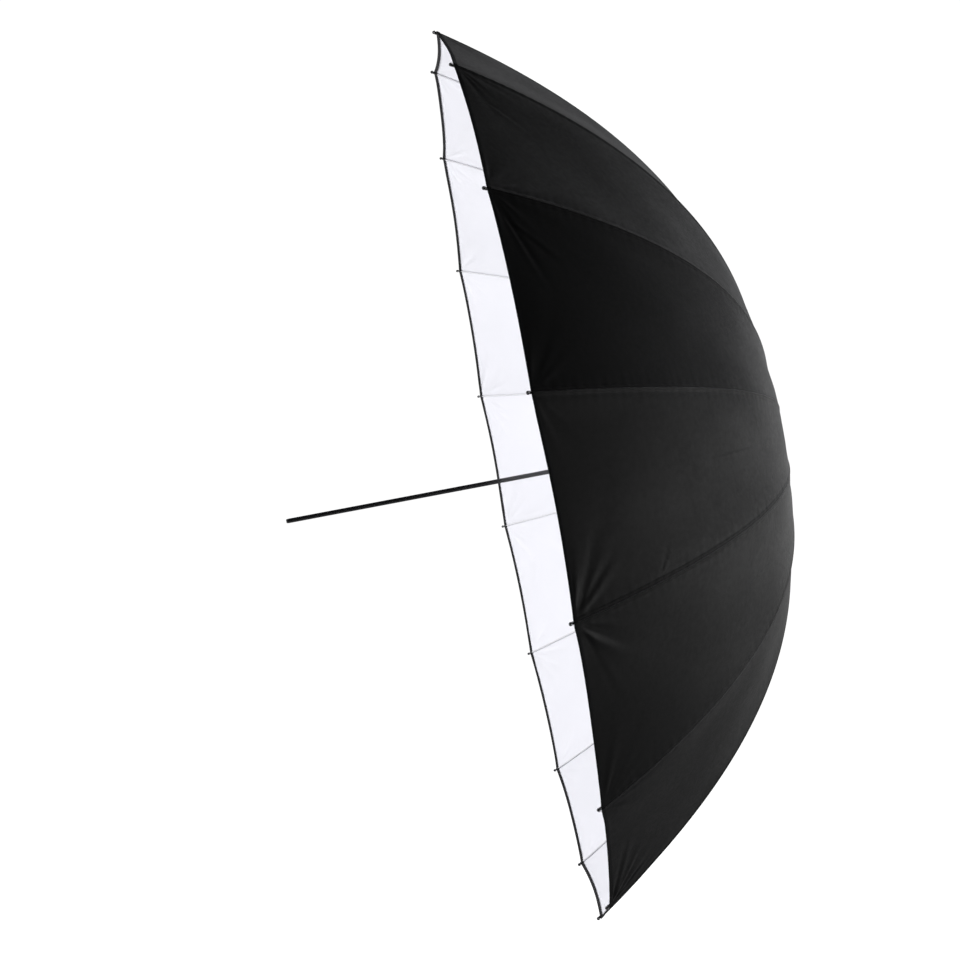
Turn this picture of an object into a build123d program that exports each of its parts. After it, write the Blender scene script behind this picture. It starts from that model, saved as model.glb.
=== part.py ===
from build123d import *
import os
from math import atan2, cos, degrees, hypot, radians, sin, sqrt, tan

# Deep sixteen-rib umbrella reflector. Millimetres.
# +X runs along the shaft towards the apex; X = 0 is the point where the shaft is held.
# Ribs stand half a pitch off the Y axis, so the part is symmetric about XY and XZ.

os.makedirs("parts", exist_ok=True)

# ---- canopy ----
N_RIBS = 16
PITCH = 360 / N_RIBS
HALF = PITCH / 2
RIM_R = 750.0            # rib tips stand on this circle
DEPTH = 440.0            # rim plane to apex
DOME_POWER = 2.67        # how late the dome turns down towards the rim
RIM_X = 190.0            # rim plane, in front of the held point
APEX_X = RIM_X + DEPTH
FABRIC_T = 0.6
FABRIC_HOLE_R = 11.0
SCALLOP = 4.5            # hem draws back between tips
SEAM_GAP = 0.1           # half the gap left between neighbouring panels

# ---- ribs ----
ROD_R = 1.5
ROD_DROP = 2.5           # rod centre below the middle of the cloth
ROD_START_R = 36.5
HINGE_R = 16.0           # hinge circle, crown and runner alike
HINGE_X = APEX_X - 6.5
EYE_R = 2.4
PLATE_T = 1.8
CRIMP_R = 1.95
CRIMP_START_R = 34.0
CRIMP_END_R = 45.0
TIP_R = 2.0
TIP_COVER = 7.0          # how far the cap reaches back over the rod
TIP_OUT = 6.0            # how far it stands out past the hem
TIP_BALL_R = 2.6

# ---- stretchers ----
JOINT_R = 225.0          # where a stretcher meets its rib
JOINT_DROP = 8.0         # pivot below the rod centre
RUNNER_X = RIM_X + 190.0 # runner hinge plane, umbrella open
CLOSE_ANGLE = 58.0       # rib swing from open to furled
BAR_R = 1.2
BAR_SIDE = 2.9           # the bar passes beside its rib, not through it
KNUCKLE_HALF_W = 1.9

# ---- shaft ----
SHAFT_R = 4.0
BORE_R = 3.0
SHAFT_FRONT = -205.0
SHAFT_BACK = 648.0
STOP_X = 95.0            # groove that the stop ring snaps into
FIT = 0.05               # radial clearance of fixed fits
STOP_FLOOR_R = 3.65
STOP_RING_R = 4.6
WIRE_R = 0.8
WIRE_RUN = 0.05          # radial clearance of every eye on its wire

# ---- runner and catch ----
RUNNER_BORE_R = SHAFT_R + 0.12
RUNNER_FRONT = 48.0      # sleeve length in front of the hinge plane
SLEEVE_R = 8.0
DISC_R = 18.5
DISC_HALF = 4.5
SLOT_W = 2.4
SLOT_R = 12.9
CATCH_REACH = 41.4       # catch pivot to the face that holds the runner
CATCH_W = 2.4
NOSE_R = 6.3


def dome_x(r):
    return RIM_X + DEPTH * (1 - (r / RIM_R) ** DOME_POWER)


def dome_slope(r):
    return -DEPTH * DOME_POWER / RIM_R * (r / RIM_R) ** (DOME_POWER - 1)


def outward(r):
    """Unit normal of the dome in a rib plane, as (x, radial)."""
    s = dome_slope(r)
    return 1 / hypot(1, s), -s / hypot(1, s)


def below_cloth(r, drop):
    nx, nr = outward(r)
    return dome_x(r) - drop * nx, r - drop * nr


def along_x(radius, x0, x1):
    """Solid rod about the shaft axis from x0 to x1."""
    return Pos((x0 + x1) / 2, 0, 0) * Rot(0, 90, 0) * Cylinder(radius, x1 - x0)


def across(radius, x, y, z0, z1):
    """Rod square to a rib plane."""
    return Pos(x, y, (z0 + z1) / 2) * Cylinder(radius, z1 - z0)


def turned(*points):
    """Solid turned about the shaft axis from (x, radius) corners."""
    return revolve(make_face(Polyline(*points, close=True)), Axis.X, 360)


def slab(points, z0, z1):
    """Plate with an (x, radial) outline, lying across a rib plane."""
    return Pos(0, 0, z0) * extrude(make_face(Polyline(*points, close=True)), z1 - z0)


def at_angle(shape, angle):
    return Rot(angle, 0, 0) * shape


def rib_angle(k):
    return (k + 0.5) * PITCH


def save(solids, node):
    if not isinstance(solids, list):
        solids = [solids]
    whole = Compound(children=solids) if len(solids) > 1 else solids[0]
    whole.label = node
    export_step(whole, f"parts/{node}.step")


# ---------------------------------------------------------------- linkage
joint_x, joint_r = below_cloth(JOINT_R, ROD_DROP + JOINT_DROP)
swing = radians(CLOSE_ANGLE)
arm_x, arm_r = joint_x - HINGE_X, joint_r - HINGE_R
closed_joint_x = HINGE_X + arm_x * cos(swing) - arm_r * sin(swing)
closed_joint_r = HINGE_R + arm_x * sin(swing) + arm_r * cos(swing)
BAR_LENGTH = hypot(joint_x - RUNNER_X, joint_r - HINGE_R)
reach = sqrt(BAR_LENGTH ** 2 - (closed_joint_r - HINGE_R) ** 2)
RUNNER_TRAVEL = RUNNER_X - (closed_joint_x - reach)
BAR_OPEN = degrees(atan2(joint_r - HINGE_R, joint_x - RUNNER_X))
BAR_CLOSED = degrees(atan2(closed_joint_r - HINGE_R, reach))
print(f"bar {BAR_LENGTH:.3f} travel {RUNNER_TRAVEL:.4f} "
      f"bar angle {BAR_OPEN:.5f} to {BAR_CLOSED:.5f}")


# ---------------------------------------------------------------- canopy
def gore_arcs():
    """Middle line of a gore as a chain of tangent arcs, from the apex hole to past the hem."""
    rim = RIM_R * cos(radians(HALF))
    inner = FABRIC_HOLE_R * cos(radians(HALF))
    steps = 12
    stations = [inner + (rim + 1.5 - inner) * i / steps for i in range(steps + 1)]
    pts = [Vector(RIM_X + DEPTH * (1 - (rho / rim) ** DOME_POWER), rho, 0) for rho in stations]
    slope = -DEPTH * DOME_POWER / rim * (inner / rim) ** (DOME_POWER - 1)
    heading = Vector(slope, 1, 0).normalized()
    arcs = []
    for a, b in zip(pts, pts[1:]):
        arcs.append(TangentArc(a, b, tangent=heading))
        heading = arcs[-1] % 1
    return arcs


def beside(arcs, gap):
    """The same arcs moved outwards by gap, each about its own centre."""
    def moved(arc, t):
        along = arc % t
        return arc @ t + Vector(along.Y, -along.X, 0) * gap

    return [ThreePointArc(moved(a, 0), moved(a, 0.5), moved(a, 1)) for a in arcs]


def half_gore():
    """Flat-sectioned gore from its own centre line to the rib at zero degrees."""
    arcs = gore_arcs()
    outer, inner = beside(arcs, FABRIC_T / 2), beside(arcs, -FABRIC_T / 2)
    edges = outer + inner + [Line(outer[0] @ 0, inner[0] @ 0), Line(outer[-1] @ 1, inner[-1] @ 1)]
    band = extrude(make_face(edges), 160, both=True)
    # keep only the wedge between the gore's centre line and its rib
    far = 900.0
    wedge = Plane.YZ * make_face(Polyline((SEAM_GAP / tan(radians(HALF)), -SEAM_GAP),
                                          (far, -SEAM_GAP),
                                          (far, -far * tan(radians(HALF))),
                                          close=True))
    sheet = band & extrude(wedge, APEX_X + 40)
    # hem arc: level with the rib tips at the ribs, drawn back between them
    w = RIM_R * sin(radians(HALF)) + 1.0
    low = RIM_X - SCALLOP * ((w / (w - 1)) ** 2 - 1)
    side = 30.0
    below = make_face([ThreePointArc((low, -w), (RIM_X + SCALLOP, 0), (low, w)),
                       Line((low, w), (low - side, w)),
                       Line((low - side, w), (low - side, -w)),
                       Line((low - side, -w), (low, -w))])
    cutter = extrude(Plane.XZ * below, -far)
    return at_angle(sheet - cutter, HALF)


def canopy_panel():
    half = half_gore().solid()
    return Part() + [half, mirror(half, Plane.XY).solid()]


# ---------------------------------------------------------------- ribs
def rib_path():
    """Rod centre line as a chain of tangent arcs."""
    steps = 12
    stations = [ROD_START_R + (RIM_R - ROD_START_R) * (i / steps) ** 0.8 for i in range(steps + 1)]
    pts = [Vector(*below_cloth(r, ROD_DROP), 0) for r in stations]
    nx, nr = outward(stations[0])
    heading = Vector(-nr, nx, 0)
    arcs = []
    for a, b in zip(pts, pts[1:]):
        arcs.append(TangentArc(a, b, tangent=heading))
        heading = arcs[-1] % 1
    return Wire(arcs)


def rib_rod(path, radius=ROD_R):
    start = Plane(origin=path @ 0, z_dir=path % 0)
    return sweep(start * Circle(radius), path=path)


def rib_end(bore):
    """Steel eye plate crimped on the inner end of the rod."""
    x = below_cloth(CRIMP_START_R, ROD_DROP)[0]
    h = 1.3
    plate = slab([(HINGE_X - h, HINGE_R), (HINGE_X - h, 20.5),
                  (x - 1.5, 30.5), (x - 1.5, 36), (x + 1.5, 36), (x + 1.5, 29.5),
                  (HINGE_X + h, 19.5), (HINGE_X + h, HINGE_R)],
                 -PLATE_T / 2, PLATE_T / 2)
    eye = across(EYE_R, HINGE_X, HINGE_R, -PLATE_T / 2, PLATE_T / 2)
    mid = (CRIMP_START_R + CRIMP_END_R) / 2
    sleeve = Pos(x, mid, 0) * Rot(90, 0, 0) * Cylinder(CRIMP_R, CRIMP_END_R - CRIMP_START_R)
    relief = Pos(x, ROD_START_R - 0.2, 0) * Rot(90, 0, 0) * Cylinder(ROD_R + 3 * FIT, 0.6)
    hole = across(WIRE_R + WIRE_RUN, HINGE_X, HINGE_R, -3, 3)
    return plate + eye + sleeve - bore - relief - hole


def rib_knuckle(bore):
    """Clip on the rod that carries the stretcher pivot."""
    x, r = below_cloth(JOINT_R, ROD_DROP)
    nx, nr = outward(JOINT_R)
    w = KNUCKLE_HALF_W

    def at(t, up):
        return x - t * nr + up * nx, r + t * nx + up * nr

    body = slab([at(-5, 1.9), at(5, 1.9), at(5, -2.2), at(2.9, -JOINT_DROP),
                 at(-2.9, -JOINT_DROP), at(-5, -2.2)], -w, w)
    lug = across(2.9, *at(0, -JOINT_DROP), -w, w)
    eye = across(1.05, *at(0, -JOINT_DROP), -3, 3)
    return body + lug - bore - eye


def rib_tip(path, bore):
    """Moulded cap on the outer end, with a ball nose and a sewing eye."""
    end = Plane(origin=path @ 1, z_dir=path % 1, x_dir=(0, 0, 1))
    sleeve = Pos(0, 0, (TIP_OUT - TIP_COVER) / 2 - 1) * Cylinder(TIP_R, TIP_OUT + TIP_COVER - 2)
    nose = Pos(0, 0, TIP_OUT - TIP_BALL_R) * Sphere(TIP_BALL_R)
    relief = Cylinder(ROD_R + 4 * FIT, 0.4)
    eye = Pos(0, 0, TIP_OUT - TIP_BALL_R) * Rot(0, 90, 0) * Cylinder(0.7, 12)
    return end * (sleeve + nose - relief - eye) - bore


# ---------------------------------------------------------------- stretchers
def stretcher():
    """Bar from the runner ring to the rib knuckle, laid out along its own length."""
    length = BAR_LENGTH
    jog_start, jog_end, blade = 16.0, 46.0, 18.0
    path = Wire([Line((9, 0, 0), (jog_start, 0, 0)),
                 Bezier((jog_start, 0, 0), (jog_start + 11, 0, 0),
                        (jog_end - 11, 0, BAR_SIDE), (jog_end, 0, BAR_SIDE)),
                 Line((jog_end, 0, BAR_SIDE), (length - 15, 0, BAR_SIDE))])
    bar = sweep(Plane(origin=(9, 0, 0), z_dir=(1, 0, 0)) * Circle(BAR_R), path=path)
    plate = Pos(6.5, 0, 0) * Box(13, 2.6, PLATE_T)
    eye = Cylinder(EYE_R, PLATE_T)
    hole = Cylinder(WIRE_R + WIRE_RUN, 4)
    z0, z1 = BAR_SIDE - 0.8, BAR_SIDE + 0.8
    flat = Pos(length - blade / 2, 0, BAR_SIDE) * Box(blade, 3.2, z1 - z0)
    tongue = Pos(length, 0, BAR_SIDE) * Cylinder(2.6, z1 - z0)
    rivet_hole = Pos(length, 0, BAR_SIDE) * Cylinder(1.05, 4)
    body = bar + plate + eye + flat + tongue - hole - rivet_hole
    shank = across(1.0, length, 0, z0, z1 + 0.05)
    head = across(2.0, length, 0, z1 + 0.05, z1 + 0.85)
    rivet = fillet((shank + head).edges().group_by(Axis.Z)[-1], 0.35)
    laid = Pos(RUNNER_X, HINGE_R, 0) * Rot(0, 0, BAR_OPEN)
    return [laid * body, laid * rivet]


# ---------------------------------------------------------------- hinge rings
def hinge_wire(x):
    """Wire ring bent into straight lengths, one under each eye."""
    corner = HINGE_R / cos(radians(HALF))
    pts = [(x, corner * cos(radians(i * PITCH)), corner * sin(radians(i * PITCH)))
           for i in range(N_RIBS)]
    lengths = []
    for i in range(N_RIBS):
        a, b = Vector(*pts[i]), Vector(*pts[(i + 1) % N_RIBS])
        lengths.append(Line(a, b))
    ring = Wire(lengths)
    start = Vector(x, HINGE_R * cos(radians(HALF)), HINGE_R * sin(radians(HALF)))
    ring = Wire([Line(start, Vector(*pts[1]))] + lengths[1:] + [Line(Vector(*pts[0]), start)])
    side = Vector(*pts[1]) - Vector(*pts[0])
    return sweep(Plane(origin=start, z_dir=side) * Circle(WIRE_R), path=ring,
                 transition=Transition.RIGHT)


def ring_slots(x0, x1):
    depth = DISC_R + 2 - SLOT_R
    one = Pos((x0 + x1) / 2, SLOT_R + depth / 2, 0) * Box(x1 - x0, depth, SLOT_W)
    return [at_angle(one, rib_angle(k)) for k in range(N_RIBS)]


def wire_groove(x):
    return along_x(DISC_R + 1, x - 0.9, x + 0.9) - along_x(15.0, x - 2, x + 2)


def crown_hub():
    top = APEX_X - 0.5
    body = turned((604, 0), (604, 8), (605, 9), (617, 9), (619, 12.5), (620.5, DISC_R - 0.6),
                  (621.1, DISC_R), (top - 0.8, DISC_R), (top, DISC_R - 0.8), (top, 0))
    body -= along_x(SHAFT_R + FIT, 600, APEX_X + 2)
    body -= wire_groove(HINGE_X)
    for s in ring_slots(618, HINGE_X + EYE_R + 0.4):
        body -= s
    return body - across(1.25 + FIT, 611, 0, -12, 12)


def crown_pin():
    return across(1.25, 611, 0, -8.6, 8.6)


def canopy_washer():
    ring = turned((APEX_X + 0.45, SHAFT_R + FIT), (APEX_X + 0.45, 14), (APEX_X + 1.2, 14),
                  (APEX_X + 1.7, 13), (APEX_X + 1.7, SHAFT_R + FIT))
    return ring


def rear_cap():
    x = APEX_X + 1.8
    cap = turned((x, 0), (x, 9), (x + 3, 9), (x + 4.5, 6.6), (x + 22, 5.6), (x + 26, 4.6),
                 (x + 28.5, 2.4), (x + 29, 0))
    return cap - along_x(SHAFT_R + FIT, x - 1, SHAFT_BACK + 0.2)


# ---------------------------------------------------------------- runner
def catch_side(shape):
    """The catch works on the +Z side of the shaft."""
    return at_angle(shape, 90)


def runner():
    x, front = RUNNER_X, RUNNER_X - RUNNER_FRONT
    body = turned((front, 0), (front, 10), (front + 1, 11), (front + 5, 11), (front + 8, SLEEVE_R),
                  (x - 14, SLEEVE_R), (x - DISC_HALF - 1.5, 12.5), (x - DISC_HALF, DISC_R - 0.6),
                  (x - DISC_HALF + 0.6, DISC_R), (x + DISC_HALF - 0.6, DISC_R),
                  (x + DISC_HALF, DISC_R - 0.6), (x + DISC_HALF, 9), (x + 7, 8), (x + 7, 0))
    body -= along_x(RUNNER_BORE_R, front - 1, x + 8)
    body -= wire_groove(x)
    for s in ring_slots(x - EYE_R - 0.6, x + DISC_HALF + 1):
        body -= s
    for i in range(4):
        g = front + 14 + 5 * i
        body -= along_x(SLEEVE_R + 1, g, g + 1.6) - along_x(SLEEVE_R - 0.7, g - 1, g + 3)
    # relief along the bore, so the sleeve passes over the catch nose
    relief = Pos(x - 20, 3.45, 0) * Box(80, NOSE_R + 0.6, CATCH_W + 0.8)
    return body - catch_side(relief)


# ---------------------------------------------------------------- catch
catch_face = RUNNER_X - RUNNER_FRONT - 0.6
catch_pivot = catch_face - CATCH_REACH
PIVOT_UP = 1.2


def catch():
    w = CATCH_W / 2
    leaf = slab([(catch_pivot, 1.4), (catch_face, 1.4), (catch_face, 2.4),
                 (catch_pivot, 2.4)], -w, w)
    nose = slab([(catch_face - 14, 2.0), (catch_face, 2.0), (catch_face, NOSE_R - 0.5),
                 (catch_face - 0.5, NOSE_R), (catch_face - 2, NOSE_R),
                 (catch_face - 13, 2.4)], -w, w)
    roll = across(1.25, catch_pivot, PIVOT_UP, -w, w)
    hole = across(0.65, catch_pivot, PIVOT_UP, -3, 3)
    return catch_side(leaf + nose + roll - hole)


def catch_pin():
    return catch_side(across(0.6, catch_pivot, PIVOT_UP, -3.5, 3.5))


# ---------------------------------------------------------------- shaft
def shaft():
    tube = along_x(SHAFT_R, SHAFT_FRONT, SHAFT_BACK) - along_x(BORE_R, SHAFT_FRONT - 1,
                                                               SHAFT_BACK + 1)
    tube -= along_x(SHAFT_R + 1, STOP_X, STOP_X + 1) - along_x(STOP_FLOOR_R, STOP_X - 1,
                                                               STOP_X + 3)
    tube -= across(1.25 + FIT, 611, 0, -6, 6)
    window = Pos(catch_face - 6.6, 4, 0) * Box(15.0, 4, CATCH_W + 0.3)
    tube -= catch_side(window)
    return tube - catch_side(across(0.62, catch_pivot, PIVOT_UP, -6, 6))


def stop_ring():
    return along_x(STOP_RING_R, STOP_X + 0.1, STOP_X + 0.9) - along_x(STOP_FLOOR_R + FIT,
                                                                      STOP_X - 1, STOP_X + 2)


def front_plug():
    x = SHAFT_FRONT
    return turned((x - 3.5, 0), (x - 3.5, 2.6), (x - 2.6, 3.6), (x - 0.05, 3.8),
                  (x - 0.05, BORE_R - FIT), (x + 14, BORE_R - FIT), (x + 15, 2.2), (x + 15, 0))


# ---------------------------------------------------------------- write nodes
path = rib_path()
panel = canopy_panel()
bore = rib_rod(path, ROD_R + FIT)
rib = [rib_rod(path), rib_end(bore), rib_knuckle(bore), rib_tip(path, bore)]
bar = stretcher()
for k in range(N_RIBS):
    n, a = f"{k + 1:02d}", rib_angle(k)
    save(at_angle(panel, a), f"canopy_panel_{n}")
    save([at_angle(s, a) for s in rib], f"rib_{n}")
    save([at_angle(s, a) for s in bar], f"stretcher_{n}")

save(shaft(), "shaft")
save(front_plug(), "front_plug")
save(stop_ring(), "stop_ring")
save(crown_hub(), "crown_hub")
save(hinge_wire(HINGE_X), "crown_wire")
save(crown_pin(), "crown_pin")
save(canopy_washer(), "canopy_washer")
save(rear_cap(), "rear_cap")
save(runner(), "runner")
save(hinge_wire(RUNNER_X), "runner_wire")
save(catch(), "catch")
save(catch_pin(), "catch_pin")
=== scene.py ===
import math

import bpy
import numpy as np
from mathutils import Matrix, Vector

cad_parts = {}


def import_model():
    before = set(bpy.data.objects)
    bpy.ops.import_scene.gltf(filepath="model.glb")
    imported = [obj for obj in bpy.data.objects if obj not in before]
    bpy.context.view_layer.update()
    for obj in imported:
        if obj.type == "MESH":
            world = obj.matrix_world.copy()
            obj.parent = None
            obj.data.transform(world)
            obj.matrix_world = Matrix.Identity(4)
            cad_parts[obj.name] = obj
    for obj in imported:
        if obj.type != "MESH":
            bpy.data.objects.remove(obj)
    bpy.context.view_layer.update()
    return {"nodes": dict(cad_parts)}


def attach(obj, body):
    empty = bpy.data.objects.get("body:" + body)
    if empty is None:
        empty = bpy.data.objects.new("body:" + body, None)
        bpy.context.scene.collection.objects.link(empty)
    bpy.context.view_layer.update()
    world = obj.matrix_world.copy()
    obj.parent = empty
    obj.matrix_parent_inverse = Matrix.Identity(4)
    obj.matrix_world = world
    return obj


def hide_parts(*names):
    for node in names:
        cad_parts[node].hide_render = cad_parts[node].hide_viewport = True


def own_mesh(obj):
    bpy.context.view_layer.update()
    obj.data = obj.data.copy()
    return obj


# Deep sixteen-rib umbrella reflector. Metres, row frame: +X along the shaft to the apex.

N = 16
PITCH = 2 * math.pi / N
HALF = PITCH / 2
RIM_R = 0.750
DEPTH = 0.440
POWER = 2.67
RIM_X = 0.190
HOLE_R = 0.011
SCALLOP = 0.0045
SHEET = 0.0003               # half the cloth's thickness
BANDS = 20                   # lengths each rib's cloth is split into for folding
ROWS_PER_BAND = 9
RIM_ROWS = 17                # rows of the bands next to the hem, which carry the pull marks
RIM_BANDS = 4
FIRST_BAND_END = 0.10        # the band at the crown, as a share of the arc
COLS = 44
BINDING_W = 0.0056
BINDING_OUT = 0.0011
TIE_R, TIP_THREAD_R, KNOT_R = 0.0002, 0.00022, 0.0003
TIE_RADII = (0.12, 0.33, 0.45, 0.56, 0.655)
ROD_DROP = 0.0025            # rod centre below the middle of the cloth
NOSE_OUT = 0.0034            # middle of the tip's ball, out from the rim
STITCH_OFF = 0.0032          # stitch row to seam
STITCH_PITCH = 0.0030
WEAVE_PITCH = 0.0009
FLOOR_Z = -1.62
FLOOR_HALF = 14.0


# ------------------------------------------------------------------ small helpers
def rib_angle(k):
    return (k + 0.5) * PITCH


def radial(a):
    return np.array([0.0, math.cos(a), math.sin(a)])


def tangential(a):
    return np.array([0.0, -math.sin(a), math.cos(a)])


def smooth(x, a, b):
    t = np.clip((x - a) / (b - a), 0, 1)
    return t * t * (3 - 2 * t)


def new_object(name, mesh):
    obj = bpy.data.objects.new(name, mesh)
    bpy.context.scene.collection.objects.link(obj)
    return obj


def make_mesh(name, verts, faces, normals=None, uvs=None, slots=None, materials=()):
    """Mesh from arrays, with its own vertex normals, metric UVs and face materials."""
    me = bpy.data.meshes.new(name)
    me.from_pydata(np.asarray(verts).tolist(), [], np.asarray(faces).tolist())
    for m in materials:
        me.materials.append(m)
    if slots is not None:
        me.polygons.foreach_set("material_index", np.asarray(slots, np.int32))
    me.polygons.foreach_set("use_smooth", np.ones(len(me.polygons), bool))
    if uvs is not None:
        layer = me.uv_layers.new(name="metric")
        loops = np.zeros(len(me.loops), np.int32)
        me.loops.foreach_get("vertex_index", loops)
        layer.data.foreach_set("uv", np.asarray(uvs, np.float32)[loops].ravel())
    me.update()
    if normals is not None:
        me.normals_split_custom_set_from_vertices(np.asarray(normals, float).tolist())
    return me


# ------------------------------------------------------------------ shader helpers
def node_tree(name):
    mat = bpy.data.materials.new(name)
    mat.use_nodes = True
    nt = mat.node_tree
    nt.nodes.clear()
    out = nt.nodes.new("ShaderNodeOutputMaterial")
    bsdf = nt.nodes.new("ShaderNodeBsdfPrincipled")
    nt.links.new(bsdf.outputs[0], out.inputs[0])
    return mat, nt, bsdf


def add(nt, kind, **props):
    node = nt.nodes.new(kind)
    for k, v in props.items():
        setattr(node, k, v)
    return node


def maths(nt, op, a, b=None, c=None, clamp=False):
    node = add(nt, "ShaderNodeMath", operation=op, use_clamp=clamp)
    for i, v in enumerate((a, b, c)):
        if v is None:
            continue
        if isinstance(v, (int, float)):
            node.inputs[i].default_value = v
        else:
            nt.links.new(v, node.inputs[i])
    return node.outputs[0]


def noise(nt, vector, scale, detail=3.0, rough=0.5):
    n = add(nt, "ShaderNodeTexNoise")
    n.inputs["Scale"].default_value = scale
    n.inputs["Detail"].default_value = detail
    n.inputs["Roughness"].default_value = rough
    if vector is not None:
        nt.links.new(vector, n.inputs["Vector"])
    return n.outputs["Fac"]


def mix_colour(nt, fac, a, b):
    m = add(nt, "ShaderNodeMix", data_type="RGBA")
    if isinstance(fac, (int, float)):
        m.inputs[0].default_value = fac
    else:
        nt.links.new(fac, m.inputs[0])
    for i, v in ((6, a), (7, b)):
        if isinstance(v, tuple):
            m.inputs[i].default_value = (*v, 1)
        else:
            nt.links.new(v, m.inputs[i])
    return m.outputs[2]


def ramp(nt, fac, a, b, lo=0.0, hi=1.0):
    r = add(nt, "ShaderNodeMapRange")
    nt.links.new(fac, r.inputs[0])
    r.inputs[1].default_value, r.inputs[2].default_value = lo, hi
    r.inputs[3].default_value, r.inputs[4].default_value = a, b
    return r.outputs[0]


def bump(nt, height, bsdf, strength, distance):
    b = add(nt, "ShaderNodeBump")
    b.inputs["Strength"].default_value = strength
    b.inputs["Distance"].default_value = distance
    nt.links.new(height, b.inputs["Height"])
    nt.links.new(b.outputs[0], bsdf.inputs["Normal"])


def metric_uv(nt):
    """Distance from the rib and distance along it, in metres, as two sockets."""
    uv = add(nt, "ShaderNodeUVMap", uv_map="metric")
    sep = add(nt, "ShaderNodeSeparateXYZ")
    nt.links.new(uv.outputs[0], sep.inputs[0])
    return sep.outputs[0], sep.outputs[1]


def weave(nt, u, v, pitch):
    """Plain weave height, 0 to 1: warp and weft trade places every thread."""
    su = maths(nt, "SINE", maths(nt, "MULTIPLY", u, 2 * math.pi / pitch))
    sv = maths(nt, "SINE", maths(nt, "MULTIPLY", v, 2 * math.pi / pitch))
    return maths(nt, "MULTIPLY_ADD", maths(nt, "MULTIPLY", su, sv), 0.5, 0.5)


def seam_marks(nt, u, v):
    """Two rows of lock stitches beside the seam, and the folded edge under them. u is the
    distance from the rib, v the distance along it."""
    away = maths(nt, "ABSOLUTE", u)
    off = maths(nt, "ABSOLUTE", maths(nt, "SUBTRACT", away, STITCH_OFF))
    row = maths(nt, "SUBTRACT", 1.0, ramp(nt, off, 0, 1, 0.0, 0.0005))
    beat = maths(nt, "SINE", maths(nt, "MULTIPLY", v, 2 * math.pi / STITCH_PITCH))
    thread = maths(nt, "MULTIPLY", row, ramp(nt, beat, 0, 1, -0.4, 0.3))
    fold = maths(nt, "SUBTRACT", 1.0, ramp(nt, away, 0, 1, 0.0048, 0.0056))
    return thread, fold


# ------------------------------------------------------------------ materials
def black_cloth():
    mat, nt, b = node_tree("cloth_black_coated")
    u, v = metric_uv(nt)
    geo = add(nt, "ShaderNodeNewGeometry")
    cloud = noise(nt, geo.outputs["Position"], 9.0, 4.0)
    fine = noise(nt, geo.outputs["Position"], 140.0, 3.0)
    w = weave(nt, u, v, WEAVE_PITCH)
    thread, fold = seam_marks(nt, u, v)
    tone = maths(nt, "ADD", maths(nt, "MULTIPLY", cloud, 0.6), maths(nt, "MULTIPLY", w, 0.4))
    colour = mix_colour(nt, tone, (0.0022, 0.0022, 0.0024), (0.0045, 0.0045, 0.0048))
    colour = mix_colour(nt, maths(nt, "MULTIPLY", thread, 0.8), colour, (0.020, 0.020, 0.021))
    nt.links.new(colour, b.inputs["Base Color"])
    nt.links.new(ramp(nt, maths(nt, "ADD", maths(nt, "MULTIPLY", fine, 0.5),
                                maths(nt, "MULTIPLY", cloud, 0.5)), 0.46, 0.60, 0.3, 0.7),
                 b.inputs["Roughness"])
    b.inputs["Specular IOR Level"].default_value = 0.22
    b.inputs["Sheen Weight"].default_value = 0.012
    b.inputs["Sheen Roughness"].default_value = 0.5
    height = maths(nt, "ADD", maths(nt, "MULTIPLY", w, 0.10),
                   maths(nt, "ADD", maths(nt, "MULTIPLY", fold, 0.45),
                         maths(nt, "ADD", maths(nt, "MULTIPLY", thread, 0.35),
                               maths(nt, "MULTIPLY", fine, 0.25))))
    bump(nt, height, b, 0.6, 0.0008)
    return mat


def white_cloth():
    mat, nt, b = node_tree("cloth_white_inside")
    u, v = metric_uv(nt)
    geo = add(nt, "ShaderNodeNewGeometry")
    cloud = noise(nt, geo.outputs["Position"], 7.0, 4.0)
    fine = noise(nt, geo.outputs["Position"], 160.0, 3.0)
    w = weave(nt, u, v, WEAVE_PITCH)
    thread, fold = seam_marks(nt, u, v)
    tone = maths(nt, "ADD", maths(nt, "MULTIPLY", cloud, 0.7), maths(nt, "MULTIPLY", w, 0.3))
    colour = mix_colour(nt, tone, (0.80, 0.80, 0.83), (0.86, 0.86, 0.885))
    colour = mix_colour(nt, maths(nt, "MULTIPLY", thread, 0.35), colour, (0.62, 0.62, 0.66))
    nt.links.new(colour, b.inputs["Base Color"])
    b.inputs["Roughness"].default_value = 0.62
    b.inputs["Specular IOR Level"].default_value = 0.3
    b.inputs["Sheen Weight"].default_value = 0.10
    height = maths(nt, "ADD", maths(nt, "MULTIPLY", w, 0.12),
                   maths(nt, "ADD", maths(nt, "MULTIPLY", fold, 0.5),
                         maths(nt, "MULTIPLY", fine, 0.2)))
    bump(nt, height, b, 0.6, 0.0008)
    return mat


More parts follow.
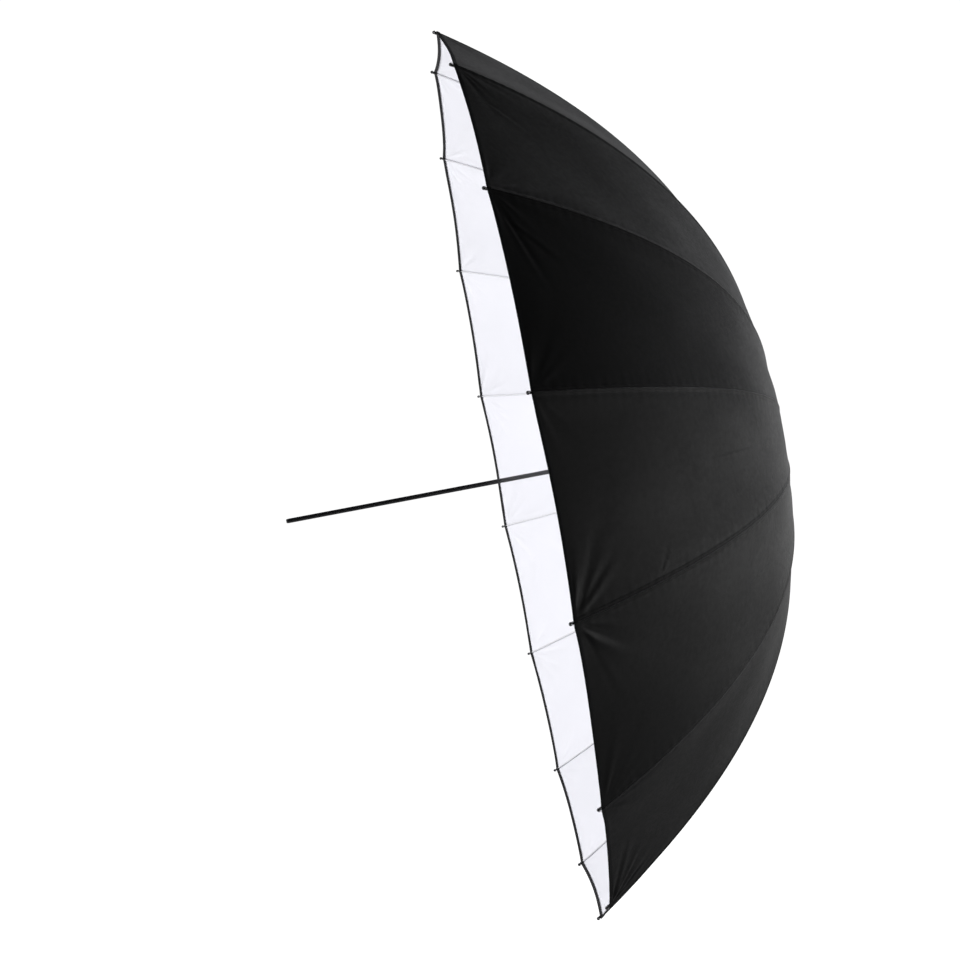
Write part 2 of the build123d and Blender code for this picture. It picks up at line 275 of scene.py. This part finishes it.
def binding_tape():
    mat, nt, b = node_tree("hem_binding_tape")
    u, v = metric_uv(nt)
    ribs = maths(nt, "SINE", maths(nt, "MULTIPLY", u, 2 * math.pi / 0.0011))
    across = maths(nt, "SINE", maths(nt, "MULTIPLY", v, 2 * math.pi / 0.0008))
    knit = maths(nt, "MULTIPLY_ADD", maths(nt, "MULTIPLY", ribs, across), 0.5, 0.5)
    beat = maths(nt, "SINE", maths(nt, "MULTIPLY", u, 2 * math.pi / 0.0034))
    off = maths(nt, "ABSOLUTE", maths(nt, "SUBTRACT", v, 0.0042))
    row = maths(nt, "SUBTRACT", 1.0, ramp(nt, off, 0, 1, 0.0, 0.0005))
    stitch = maths(nt, "MULTIPLY", row, ramp(nt, beat, 0, 1, -0.3, 0.3))
    colour = mix_colour(nt, knit, (0.007, 0.007, 0.0075), (0.014, 0.014, 0.015))
    colour = mix_colour(nt, maths(nt, "MULTIPLY", stitch, 0.7), colour, (0.035, 0.035, 0.036))
    nt.links.new(colour, b.inputs["Base Color"])
    b.inputs["Roughness"].default_value = 0.75
    b.inputs["Specular IOR Level"].default_value = 0.25
    bump(nt, maths(nt, "ADD", maths(nt, "MULTIPLY", knit, 0.4), maths(nt, "MULTIPLY", stitch, 0.6)),
         b, 0.7, 0.0005)
    return mat


def plastic(name, dark, light, rough, grain=900.0, spec=0.5):
    mat, nt, b = node_tree(name)
    geo = add(nt, "ShaderNodeNewGeometry")
    g = noise(nt, geo.outputs["Position"], grain, 4.0)
    big = noise(nt, geo.outputs["Position"], 40.0, 3.0)
    nt.links.new(mix_colour(nt, big, dark, light), b.inputs["Base Color"])
    nt.links.new(ramp(nt, g, rough - 0.07, rough + 0.09, 0.3, 0.7), b.inputs["Roughness"])
    b.inputs["Specular IOR Level"].default_value = spec
    bump(nt, g, b, 0.25, 0.0002)
    return mat


def rod_glass_fibre():
    """Pultruded rod: long fibres under a thin clear skin."""
    mat, nt, b = node_tree("glass_fibre_rod")
    geo = add(nt, "ShaderNodeNewGeometry")
    sep = add(nt, "ShaderNodeSeparateXYZ")
    nt.links.new(geo.outputs["Position"], sep.inputs[0])
    streak = noise(nt, geo.outputs["Position"], 420.0, 2.0)
    big = noise(nt, geo.outputs["Position"], 12.0, 3.0)
    colour = mix_colour(nt, streak, (0.66, 0.66, 0.67), (0.76, 0.76, 0.77))
    colour = mix_colour(nt, maths(nt, "MULTIPLY", big, 0.4), colour, (0.60, 0.60, 0.62))
    nt.links.new(colour, b.inputs["Base Color"])
    b.inputs["Roughness"].default_value = 0.38
    b.inputs["Coat Weight"].default_value = 0.3
    b.inputs["Coat Roughness"].default_value = 0.2
    bump(nt, streak, b, 0.3, 0.0002)
    return mat


def steel(name, tone=0.62, rough=0.32):
    mat, nt, b = node_tree(name)
    geo = add(nt, "ShaderNodeNewGeometry")
    fine = noise(nt, geo.outputs["Position"], 1500.0, 3.0)
    big = noise(nt, geo.outputs["Position"], 60.0, 3.0)
    nt.links.new(mix_colour(nt, big, (tone * 0.9,) * 3, (tone * 1.06,) * 3), b.inputs["Base Color"])
    b.inputs["Metallic"].default_value = 1.0
    nt.links.new(ramp(nt, fine, rough - 0.08, rough + 0.12, 0.3, 0.7), b.inputs["Roughness"])
    bump(nt, fine, b, 0.15, 0.0001)
    return mat


def shaft_paint():
    """Gloss black stoved paint on the drawn tube, faintly ringed and rubbed."""
    mat, nt, b = node_tree("shaft_gloss_black")
    geo = add(nt, "ShaderNodeNewGeometry")
    rub = noise(nt, geo.outputs["Position"], 55.0, 5.0)
    peel = noise(nt, geo.outputs["Position"], 700.0, 2.0)
    nt.links.new(mix_colour(nt, rub, (0.006, 0.006, 0.0065), (0.012, 0.012, 0.013)),
                 b.inputs["Base Color"])
    nt.links.new(ramp(nt, rub, 0.14, 0.26, 0.35, 0.75), b.inputs["Roughness"])
    b.inputs["Coat Weight"].default_value = 0.6
    b.inputs["Coat Roughness"].default_value = 0.08
    bump(nt, peel, b, 0.06, 0.0001)
    return mat


# ------------------------------------------------------------------ canopy surface
def dome_x(r):
    return RIM_X + DEPTH * (1 - (r / RIM_R) ** POWER)


def arc_table():
    r = np.linspace(HOLE_R, RIM_R, 4000)
    x = dome_x(r)
    s = np.concatenate([[0], np.cumsum(np.hypot(np.diff(r), np.diff(x)))])
    return r, s


ARC_R, ARC_S = arc_table()
ARC_LEN = ARC_S[-1]


def r_at(v):
    """Radius at a share v of the arc from crown to rim."""
    return np.interp(v * ARC_LEN, ARC_S, ARC_R)


def corner_strength(g, side):
    """How deep the pull marks run at a gore's corner. side is -1 at rib g, +1 at rib g + 1."""
    rib = (g + (1 if side > 0 else 0)) % N
    base = {8: 0.6, 10: 0.7, 11: 0.9, 6: 0.5, 9: 0.4, 7: 0.3}.get(rib, 0.4)
    rng = np.random.default_rng(100 + 7 * g + (3 if side > 0 else 0))
    return base * (0.75 + 0.5 * rng.random()), rng.random(6) * 2 * math.pi


# single folds: gore, then share along and across the gore at each end, depth and width in mm
FOLDS = (
    (6, 0.985, -0.75, 0.930, -0.02, 1.0, 8.0),
    (6, 0.975, -0.68, 0.890, -0.33, -0.9, 8.0),
    (7, 0.664, -0.11, 0.431, -0.09, 0.45, 5.0),
    (7, 0.820, 0.92, 0.790, 0.66, 0.5, 6.0),
    (8, 0.602, -0.14, 0.480, -0.01, 0.5, 5.0),
    (8, 0.870, -0.48, 0.760, -0.59, 0.3, 6.0),
    (8, 0.988, -0.90, 0.900, -0.40, 1.2, 10.0),
    (8, 0.985, -0.86, 0.930, 0.10, -0.7, 11.0),
    (9, 0.992, 0.90, 0.950, -0.08, 2.3, 9.0),
    (9, 0.990, 0.92, 0.925, 0.36, -2.1, 7.5),
    (9, 0.990, 0.94, 0.905, 0.72, 1.8, 7.0),
    (7, 0.992, 0.93, 0.900, 0.55, 1.1, 10.0),
    (7, 0.990, 0.90, 0.940, 0.20, -0.6, 10.0),
    (10, 0.970, -0.60, 0.880, -0.30, 1.0, 8.0),
    (5, 0.960, -0.50, 0.880, -0.20, 0.5, 8.0),
)


def single_folds(g, v, s):
    """Folds where the cloth is pulled: lifted on one side of a line and sunk on the other."""
    total = 0.0
    reach = math.sin(HALF)
    x, y = v * ARC_LEN, s * r_at(v) * reach
    for fold_g, v0, s0, v1, s1, depth, width in FOLDS:
        if fold_g != g:
            continue
        a = np.array([v0 * ARC_LEN, s0 * r_at(v0) * reach])
        b = np.array([v1 * ARC_LEN, s1 * r_at(v1) * reach])
        length = math.hypot(*(b - a))
        t = ((x - a[0]) * (b[0] - a[0]) + (y - a[1]) * (b[1] - a[1])) / length ** 2
        d = ((x - a[0]) * (b[1] - a[1]) - (y - a[1]) * (b[0] - a[0])) / length
        w = width * 0.001 * (0.45 + 0.55 * np.clip(t, 0, 1))
        along = smooth(t, -0.05, 0.18) * (1 - smooth(t, 0.45, 1.1))
        total = total + depth * 0.001 * (d / w) * np.exp(-(d / w) ** 2) * along
    return total


def cloth_offset(g, v, s):
    """Displacement of the taut gore along its outward normal."""
    r = r_at(v)
    half_w = r * math.sin(HALF)
    along = v * ARC_LEN
    from_rim = ARC_LEN - along
    edge = (1 - np.abs(s)) * half_w
    # cloth spans the chord between ribs and is drawn in a little where it is widest
    sag = -0.0012 * (1 - s * s) * smooth(r, 0.03, 0.45) * (1 - 0.35 * smooth(r, 0.6, 0.75))
    # pull marks fan out from both rim corners
    pulls = 0.0
    for side in (-1, 1):
        amp, ph = corner_strength(g, side)
        e = np.abs(side - s) * half_w
        rho = np.hypot(from_rim, e)
        phi = np.arctan2(e, from_rim + 1e-9)
        fan = (np.sin(9 * phi + ph[0]) + 0.6 * np.sin(15 * phi + ph[1] + rho * 14)
               + 0.35 * np.sin(23 * phi + ph[2] - rho * 22))
        pulls = pulls + 0.0017 * amp * fan * smooth(rho, 0.012, 0.045) \
            * np.exp(-rho / 0.055) * smooth(e, 0.0, 0.02)
    # puckers along the sewn edge
    rng = np.random.default_rng(900 + g)
    ph = rng.random(8) * 2 * math.pi
    pucker = 0.00016 * np.exp(-edge / 0.011) * smooth(edge, 0.0, 0.004) * (
        np.sin(along * 2 * math.pi / 0.017 + ph[0] + 2 * np.sin(along * 9 + ph[1]))
        + 0.6 * np.sin(along * 2 * math.pi / 0.029 + ph[2]))
    # the cloth rides up over the rod and its pocket, and dips beside it
    ridge = smooth(r, 0.05, 0.12) * (0.0004 * np.exp(-(edge / 0.0026) ** 2)
                                     - 0.0002 * np.exp(-((edge - 0.007) / 0.0035) ** 2))
    # slow unevenness of the stretch, different on every gore
    slow = 0.0005 * smooth(edge, 0.0, 0.04) * (
        np.sin(5.1 * along + 2.2 * s + ph[3]) + np.sin(11.3 * along - 3.1 * s + ph[4])
        + 0.6 * np.sin(21.0 * along + 4.0 * s + ph[5]))
    # radiating creases near the apex
    near = np.exp(-((r - 0.14) / 0.10) ** 2) * smooth(r, 0.03, 0.07)
    crease = 0.00035 * near * smooth(edge, 0.0, 0.006) * np.sin(7 * s + ph[6] + 9 * along)
    return sag + pulls + pucker + slow + crease + ridge + single_folds(g, v, s)


def cloth_point(g, v, s, lift=0.0):
    """Point and displacement frame on gore g. Arrays in, (n, 3) out."""
    v, s = np.broadcast_arrays(np.asarray(v, float), np.asarray(s, float))
    pull_back = SCALLOP / 1.566 * (1 - s * s) * v ** 8
    r = r_at(v) - pull_back
    rho, w = r * math.cos(HALF), r * math.sin(HALF) * s
    slope = -DEPTH * POWER / RIM_R * (r / RIM_R) ** (POWER - 1) / math.cos(HALF)
    size = np.hypot(1, slope)
    nx, nr = 1 / size, -slope / size
    h = cloth_offset(g, v, s) + lift
    a = rib_angle(g) + HALF
    x = dome_x(r) + h * nx
    rho = rho + h * nr
    p = np.zeros(v.shape + (3,))
    p[..., 0] = x
    p += rho[..., None] * radial(a) + w[..., None] * tangential(a)
    return p


def cloth_normal(g, v, s):
    e = 1e-4
    dv = cloth_point(g, np.clip(v + e, 0, 1), s) - cloth_point(g, np.clip(v - e, 0, 1), s)
    ds = cloth_point(g, v, np.clip(s + e, -1, 1)) - cloth_point(g, v, np.clip(s - e, -1, 1))
    n = np.cross(ds, dv)
    n /= np.linalg.norm(n, axis=-1)[..., None] + 1e-20
    a = rib_angle(g) + HALF
    out = np.array([1.0, 0, 0]) + radial(a)
    flip = np.sign((n * out).sum(-1))
    return n * flip[..., None]


def grid_faces(rows, cols, start=0, flip=False):
    i = np.arange(rows - 1)[:, None] * cols + np.arange(cols - 1)[None, :] + start
    q = np.stack([i, i + 1, i + cols + 1, i + cols], -1).reshape(-1, 4)
    return q[:, ::-1] if flip else q


def side_columns():
    """s from the rib (0) to the middle of the gore (1), closer together near the seam."""
    t = np.linspace(0, 1, COLS)
    return 0.45 * t + 0.55 * t ** 1.8


def band_edges():
    return np.concatenate([[0], np.linspace(FIRST_BAND_END, 1.0, BANDS)])


def band_rows(i):
    e = band_edges()
    t = np.linspace(0, 1, RIM_ROWS if i >= BANDS - RIM_BANDS else ROWS_PER_BAND)
    if i == BANDS - 1:
        t = 1 - (1 - t) ** 1.4
    return e[i] + (e[i + 1] - e[i]) * t


def cloth_band(k, i, mats):
    """The cloth on both sides of rib k between two stations: black face out, white face in."""
    v = band_rows(i)
    cols = side_columns()
    verts, norms, uvs, faces, slots = [], [], [], [], []
    count = 0
    for side in (-1, 1):
        g = k if side > 0 else (k - 1) % N
        s = (-1 + cols) if side > 0 else (1 - cols)
        vv, ss = np.meshgrid(v, s, indexing="ij")
        nrm = cloth_normal(g, vv, ss)
        mid = cloth_point(g, vv, ss)
        half_w = r_at(vv) * math.sin(HALF)
        u = (1 - np.abs(ss)) * half_w * side
        uv = np.stack([u, vv * ARC_LEN], -1)
        for face_side in (1, -1):
            p = mid + nrm * SHEET * face_side
            # both faces meet exactly on the rib plane, so the ridge stays closed
            verts.append(p.reshape(-1, 3))
            norms.append((nrm * face_side).reshape(-1, 3))
            uvs.append(uv.reshape(-1, 2))
            f = grid_faces(len(v), len(cols), count, flip=(side * face_side) > 0)
            faces.append(f)
            slots.append(np.full(len(f), 0 if face_side > 0 else 1))
            count += len(v) * len(cols)
    return make_mesh(f"canopy_r{k + 1:02d}_s{i + 1:02d}", np.concatenate(verts),
                     np.concatenate(faces), np.concatenate(norms), np.concatenate(uvs),
                     np.concatenate(slots), mats)


def fold_with_rib(obj, k):
    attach(obj, f"rib_{k + 1:02d}")
    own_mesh(obj)
    return obj


def canopy(mats):
    for k in range(N):
        for i in range(BANDS):
            me = cloth_band(k, i, mats[:2])
            obj = new_object(me.name, me)
            fold_with_rib(obj, k)
            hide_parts(f"canopy_panel_{k + 1:02d}")


def hem_binding(k, mat):
    """Tape folded over the hem on both sides of rib k."""
    width, out = BINDING_W, BINDING_OUT
    verts, uvs, faces = [], [], []
    count = 0
    cols = side_columns()
    profile = [(width, -1), (width * 0.5, -1.05), (0.0006, -1), (-0.0003, -0.45),
               (-0.0003, 0.45), (0.0006, 1), (width * 0.5, 1.05), (width, 1)]
    for side in (-1, 1):
        g = k if side > 0 else (k - 1) % N
        s = (-1 + cols) if side > 0 else (1 - cols)
        rows = []
        rim = cloth_point(g, np.ones_like(s), s)
        nrm = cloth_normal(g, np.full_like(s, 0.998), s)
        back = cloth_point(g, np.full_like(s, 0.99), s) - rim
        back /= np.linalg.norm(back, axis=-1)[:, None]
        run = np.concatenate([[0], np.cumsum(np.linalg.norm(np.diff(rim, axis=0), axis=1))])
        length = 0.0
        last = None
        for d, o in profile:
            v_in = 1 - max(d, 0) / ARC_LEN
            base = cloth_point(g, np.full_like(s, v_in), s) if d > 0 else rim - back * abs(d)
            rows.append(base + nrm * out * o)
            if last is not None:
                length += math.hypot(d - last[0], (o - last[1]) * out)
            last = (d, o)
            uvs.append(np.stack([run * side, np.full_like(run, length)], -1))
        verts.append(np.concatenate(rows))
        f = grid_faces(len(profile), len(cols), count, flip=side < 0)
        faces.append(f)
        count += len(profile) * len(cols)
    me = make_mesh(f"hem_binding_{k + 1:02d}", np.concatenate(verts), np.concatenate(faces),
                   None, np.concatenate(uvs), None, [mat])
    obj = new_object(me.name, me)
    return fold_with_rib(obj, k)


# ------------------------------------------------------------------ ties and threads
def ring_tube(points, radius, sides=6):
    """Round cord through a closed list of points, as (vertices, faces)."""
    pts = np.asarray(points, float)
    n = len(pts)
    tang = np.roll(pts, -1, 0) - np.roll(pts, 1, 0)
    tang /= np.linalg.norm(tang, axis=1)[:, None]
    ref = np.array([0.3, 0.5, 0.81])
    verts = []
    side = np.cross(tang[0], ref)
    side /= np.linalg.norm(side)
    for i in range(n):
        side = side - tang[i] * (side @ tang[i])
        side /= np.linalg.norm(side)
        up = np.cross(tang[i], side)
        a = turn(sides)
        verts.append(pts[i] + radius * (np.cos(a)[:, None] * side + np.sin(a)[:, None] * up))
    verts = np.concatenate(verts)
    faces = []
    for i in range(n):
        for j in range(sides):
            a, b = i * sides + j, i * sides + (j + 1) % sides
            c, d = ((i + 1) % n) * sides + (j + 1) % sides, ((i + 1) % n) * sides + j
            faces.append((a, b, c, d))
    return verts, faces


def join_tubes(name, parts, mat):
    verts, faces, count = [], [], 0
    for v, f in parts:
        verts.append(v)
        faces += [tuple(i + count for i in q) for q in f]
        count += len(v)
    return new_object(name, make_mesh(name, np.concatenate(verts), faces, materials=[mat]))


def rib_line(r):
    """Rod centre at radius r in a rib plane, as (x, radius), and the outward normal there."""
    s = -DEPTH * POWER / RIM_R * (r / RIM_R) ** (POWER - 1)
    size = math.hypot(1, s)
    nx, nr = 1 / size, -s / size
    return dome_x(r) - ROD_DROP * nx, r - ROD_DROP * nr, nx, nr


def turn(steps):
    return np.linspace(0, 2 * math.pi, steps, endpoint=False)


def rib_threads(k, mat):
    """Thread ties that hold the cloth to the rod, and the stitches that hold the tip."""
    a = rib_angle(k)
    er, et, ex = radial(a), tangential(a), np.array([1.0, 0, 0])
    parts = []
    for r in TIE_RADII:
        x, rr, nx, nr = rib_line(r)
        centre = ex * x + er * rr
        n = ex * nx + er * nr
        for shift in (-0.0006, 0.0006):
            t = -ex * nr + er * nx
            ring = [centre + t * shift + n * (0.0003 + 0.0020 * math.cos(q))
                    + et * 0.0019 * math.sin(q) for q in turn(14)]
            parts.append(ring_tube(ring, TIE_R))
    x, rr, nx, nr = rib_line(RIM_R)
    t = -ex * nr + er * nx
    n = ex * nx + er * nr
    nose = ex * x + er * rr + t * NOSE_OUT
    for w in (-0.0011, 0.0011):
        loop = [nose + et * w + n * 0.0022 * math.sin(q) + t * (-0.0030 + 0.0032 * math.cos(q))
                + et * (w * 0.9) * math.sin(q) for q in turn(16)]
        parts.append(ring_tube(loop, TIP_THREAD_R))
    # the knot lies on the outside of the cap
    for reach, lift in ((0.0004, 0.00277), (0.0009, 0.00264)):
        knot = [nose + n * lift + (t * math.cos(q) + et * math.sin(q)) * reach
                for q in turn(12)]
        parts.append(ring_tube(knot, KNOT_R))
    obj = join_tubes(f"rib_threads_{k + 1:02d}", parts, mat)
    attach(obj, f"rib_{k + 1:02d}")
    return obj


# ------------------------------------------------------------------ CAD nodes' finishes
def solids_of(me):
    """Connected solid of each polygon, with vertices that share a place welded."""
    co = np.zeros(len(me.vertices) * 3)
    me.vertices.foreach_get("co", co)
    co = co.reshape(-1, 3)
    key = np.round(co * 1e6).astype(np.int64)
    _, inv = np.unique(key, axis=0, return_inverse=True)
    inv = inv.ravel()
    parent = np.arange(inv.max() + 1)

    def find(i):
        while parent[i] != i:
            parent[i] = parent[parent[i]]
            i = parent[i]
        return i

    for e in me.edges:
        a, b = find(inv[e.vertices[0]]), find(inv[e.vertices[1]])
        if a != b:
            parent[a] = b
    return np.array([find(inv[p.vertices[0]]) for p in me.polygons])


def finish_rib(obj, rod, black, metal):
    """Rod, tip, knuckle and end eye are solids of one node: each gets its own finish."""
    me = obj.data
    me.materials.clear()
    for m in (rod, black, metal):
        me.materials.append(m)
    part = solids_of(me)
    centre = np.array([p.center for p in me.polygons])
    rad = np.hypot(centre[:, 1], centre[:, 2])
    index = np.zeros(len(part), np.int32)
    for p in np.unique(part):
        m = part == p
        if rad[m].max() - rad[m].min() > 0.3:
            index[m] = 0
        elif rad[m].min() > 0.7:
            index[m] = 1
        elif rad[m].max() < 0.06:
            index[m] = 2
        else:
            index[m] = 1
    me.polygons.foreach_set("material_index", index)
    shade_smooth(obj)


def shade_smooth(obj):
    me = obj.data
    me.polygons.foreach_set("use_smooth", np.ones(len(me.polygons), bool))
    me.update()


def finish_node(obj, mat):
    obj.data.materials.clear()
    obj.data.materials.append(mat)
    shade_smooth(obj)


# ------------------------------------------------------------------ stage, light, camera
def floor():
    size, z = FLOOR_HALF, FLOOR_Z
    me = bpy.data.meshes.new("floor")
    me.from_pydata([(-size, -size, z), (size, -size, z), (size, size, z), (-size, size, z)], [],
                   [(0, 1, 2, 3)])
    obj = new_object("floor", me)
    mat, nt, b = node_tree("floor_pale_painted_glow")
    b.inputs["Base Color"].default_value = (0.93, 0.93, 0.93, 1)
    b.inputs["Roughness"].default_value = 0.9
    b.inputs["Specular IOR Level"].default_value = 0.1
    seen = add(nt, "ShaderNodeLightPath")
    b.inputs["Emission Color"].default_value = (1, 1, 1, 1)
    # painted light: for bounced rays the floor glows as a lamp, bright behind and to the right of
    # the object and dim in front of it; camera rays see it evenly white
    where = add(nt, "ShaderNodeNewGeometry")
    axes = add(nt, "ShaderNodeSeparateXYZ")
    nt.links.new(where.outputs["Position"], axes.inputs[0])
    glow = maths(nt, "ADD", ramp(nt, axes.outputs[1], 0.02, 0.50, 0.2, 2.6),
                 ramp(nt, axes.outputs[0], 0.0, 0.05, 0.5, 2.5))
    nt.links.new(maths(nt, "MAXIMUM", seen.outputs["Is Camera Ray"], glow),
                 b.inputs["Emission Strength"])
    # painted shade: bounced rays see the floor at 0.30, the camera sees it at 0.93
    nt.links.new(ramp(nt, seen.outputs["Is Camera Ray"], 0.30, 0.93), b.inputs["Base Color"])
    me.materials.append(mat)


def world():
    w = bpy.data.worlds.new("studio")
    bpy.context.scene.world = w
    w.use_nodes = True
    nt = w.node_tree
    nt.nodes.clear()
    out = add(nt, "ShaderNodeOutputWorld")
    path = add(nt, "ShaderNodeLightPath")
    plain = add(nt, "ShaderNodeBackground")
    soft = add(nt, "ShaderNodeBackground")
    plain.inputs[0].default_value = (1, 1, 1, 1)
    plain.inputs[1].default_value = 1.05
    # bright backdrop behind the object, dark room behind the camera
    where = add(nt, "ShaderNodeTexCoord")
    dot = add(nt, "ShaderNodeVectorMath", operation="DOT_PRODUCT")
    dot.inputs[1].default_value = (0.42, 0.80, -0.42)
    nt.links.new(where.outputs["Generated"], dot.inputs[0])
    level = add(nt, "ShaderNodeMapRange", interpolation_type="SMOOTHSTEP")
    level.inputs[1].default_value, level.inputs[2].default_value = 0.05, 0.95
    level.inputs[3].default_value, level.inputs[4].default_value = 0.010, 0.75
    nt.links.new(dot.outputs["Value"], level.inputs[0])
    soft.inputs[0].default_value = (0.97, 0.975, 1.0, 1)
    nt.links.new(level.outputs[0], soft.inputs[1])
    mix = add(nt, "ShaderNodeMixShader")
    nt.links.new(path.outputs["Is Camera Ray"], mix.inputs[0])
    nt.links.new(soft.outputs[0], mix.inputs[1])
    nt.links.new(plain.outputs[0], mix.inputs[2])
    nt.links.new(mix.outputs[0], out.inputs[0])


def area(name, place, aim, size, power, colour=(1, 1, 1)):
    data = bpy.data.lights.new(name, "AREA")
    data.shape = "RECTANGLE"
    data.size, data.size_y = size
    data.energy = power
    data.color = colour
    obj = bpy.data.objects.new(name, data)
    obj.location = place
    obj.rotation_euler = (Vector(aim) - Vector(place)).to_track_quat("-Z", "Y").to_euler()
    bpy.context.scene.collection.objects.link(obj)
    return obj


def lights():
    area("inside_fill", (-2.6, -0.4, 0.5), (0.3, 0.1, 0), (2.4, 2.4), 122, (0.975, 0.975, 1.0))
    area("low_right", (2.6, -0.3, -0.7), (0.4, 0.0, -0.1), (1.6, 1.2), 12)
    area("rear_right", (2.3, 1.9, -0.3), (0.45, 0.0, -0.1), (1.4, 1.2), 3.4)


def camera():
    data = bpy.data.cameras.new("camera")
    data.lens = 56.6
    data.sensor_width = 36
    data.clip_start, data.clip_end = 0.05, 100
    obj = bpy.data.objects.new("camera", data)
    right = Vector((0.9821, -0.0425, -0.1835)).normalized()
    forward = Vector((0.0323, 0.9979, -0.0588)).normalized()
    up = right.cross(forward).normalized()
    right = forward.cross(up).normalized()
    m = Matrix((right, up, -forward)).transposed().to_4x4()
    m.translation = Vector((0.0475, -2.596, 0.161))
    obj.matrix_world = m
    bpy.context.scene.collection.objects.link(obj)
    bpy.context.scene.camera = obj
    bpy.context.scene.view_settings.view_transform = "Standard"


# ------------------------------------------------------------------ assembly
def dress_cad(frame):
    nodes = frame["nodes"]
    rod = rod_glass_fibre()
    tip = plastic("tip_black_plastic", (0.010, 0.010, 0.010), (0.018, 0.018, 0.018), 0.38)
    black = plastic("moulded_black_plastic", (0.012, 0.012, 0.012), (0.022, 0.022, 0.022), 0.45)
    metal = steel("bright_steel")
    bar = steel("stretcher_steel", 0.70, 0.36)
    paint = shaft_paint()
    for k in range(N):
        finish_rib(nodes[f"rib_{k + 1:02d}"], rod, tip, metal)
        finish_node(nodes[f"stretcher_{k + 1:02d}"], bar)
    finish_node(nodes["shaft"], paint)
    for n in ("front_plug", "stop_ring", "crown_hub", "canopy_washer", "rear_cap", "runner"):
        finish_node(nodes[n], black)
    for n in ("crown_wire", "crown_pin", "runner_wire", "catch", "catch_pin"):
        finish_node(nodes[n], metal)


def main():
    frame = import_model()
    cloth = [black_cloth(), white_cloth()]
    tape = binding_tape()
    thread = plastic("white_thread", (0.70, 0.70, 0.72), (0.82, 0.82, 0.84), 0.6)
    dress_cad(frame)
    canopy(cloth)
    for k in range(N):
        hem_binding(k, tape)
        rib_threads(k, thread)
    floor()
    world()
    lights()
    camera()


main()
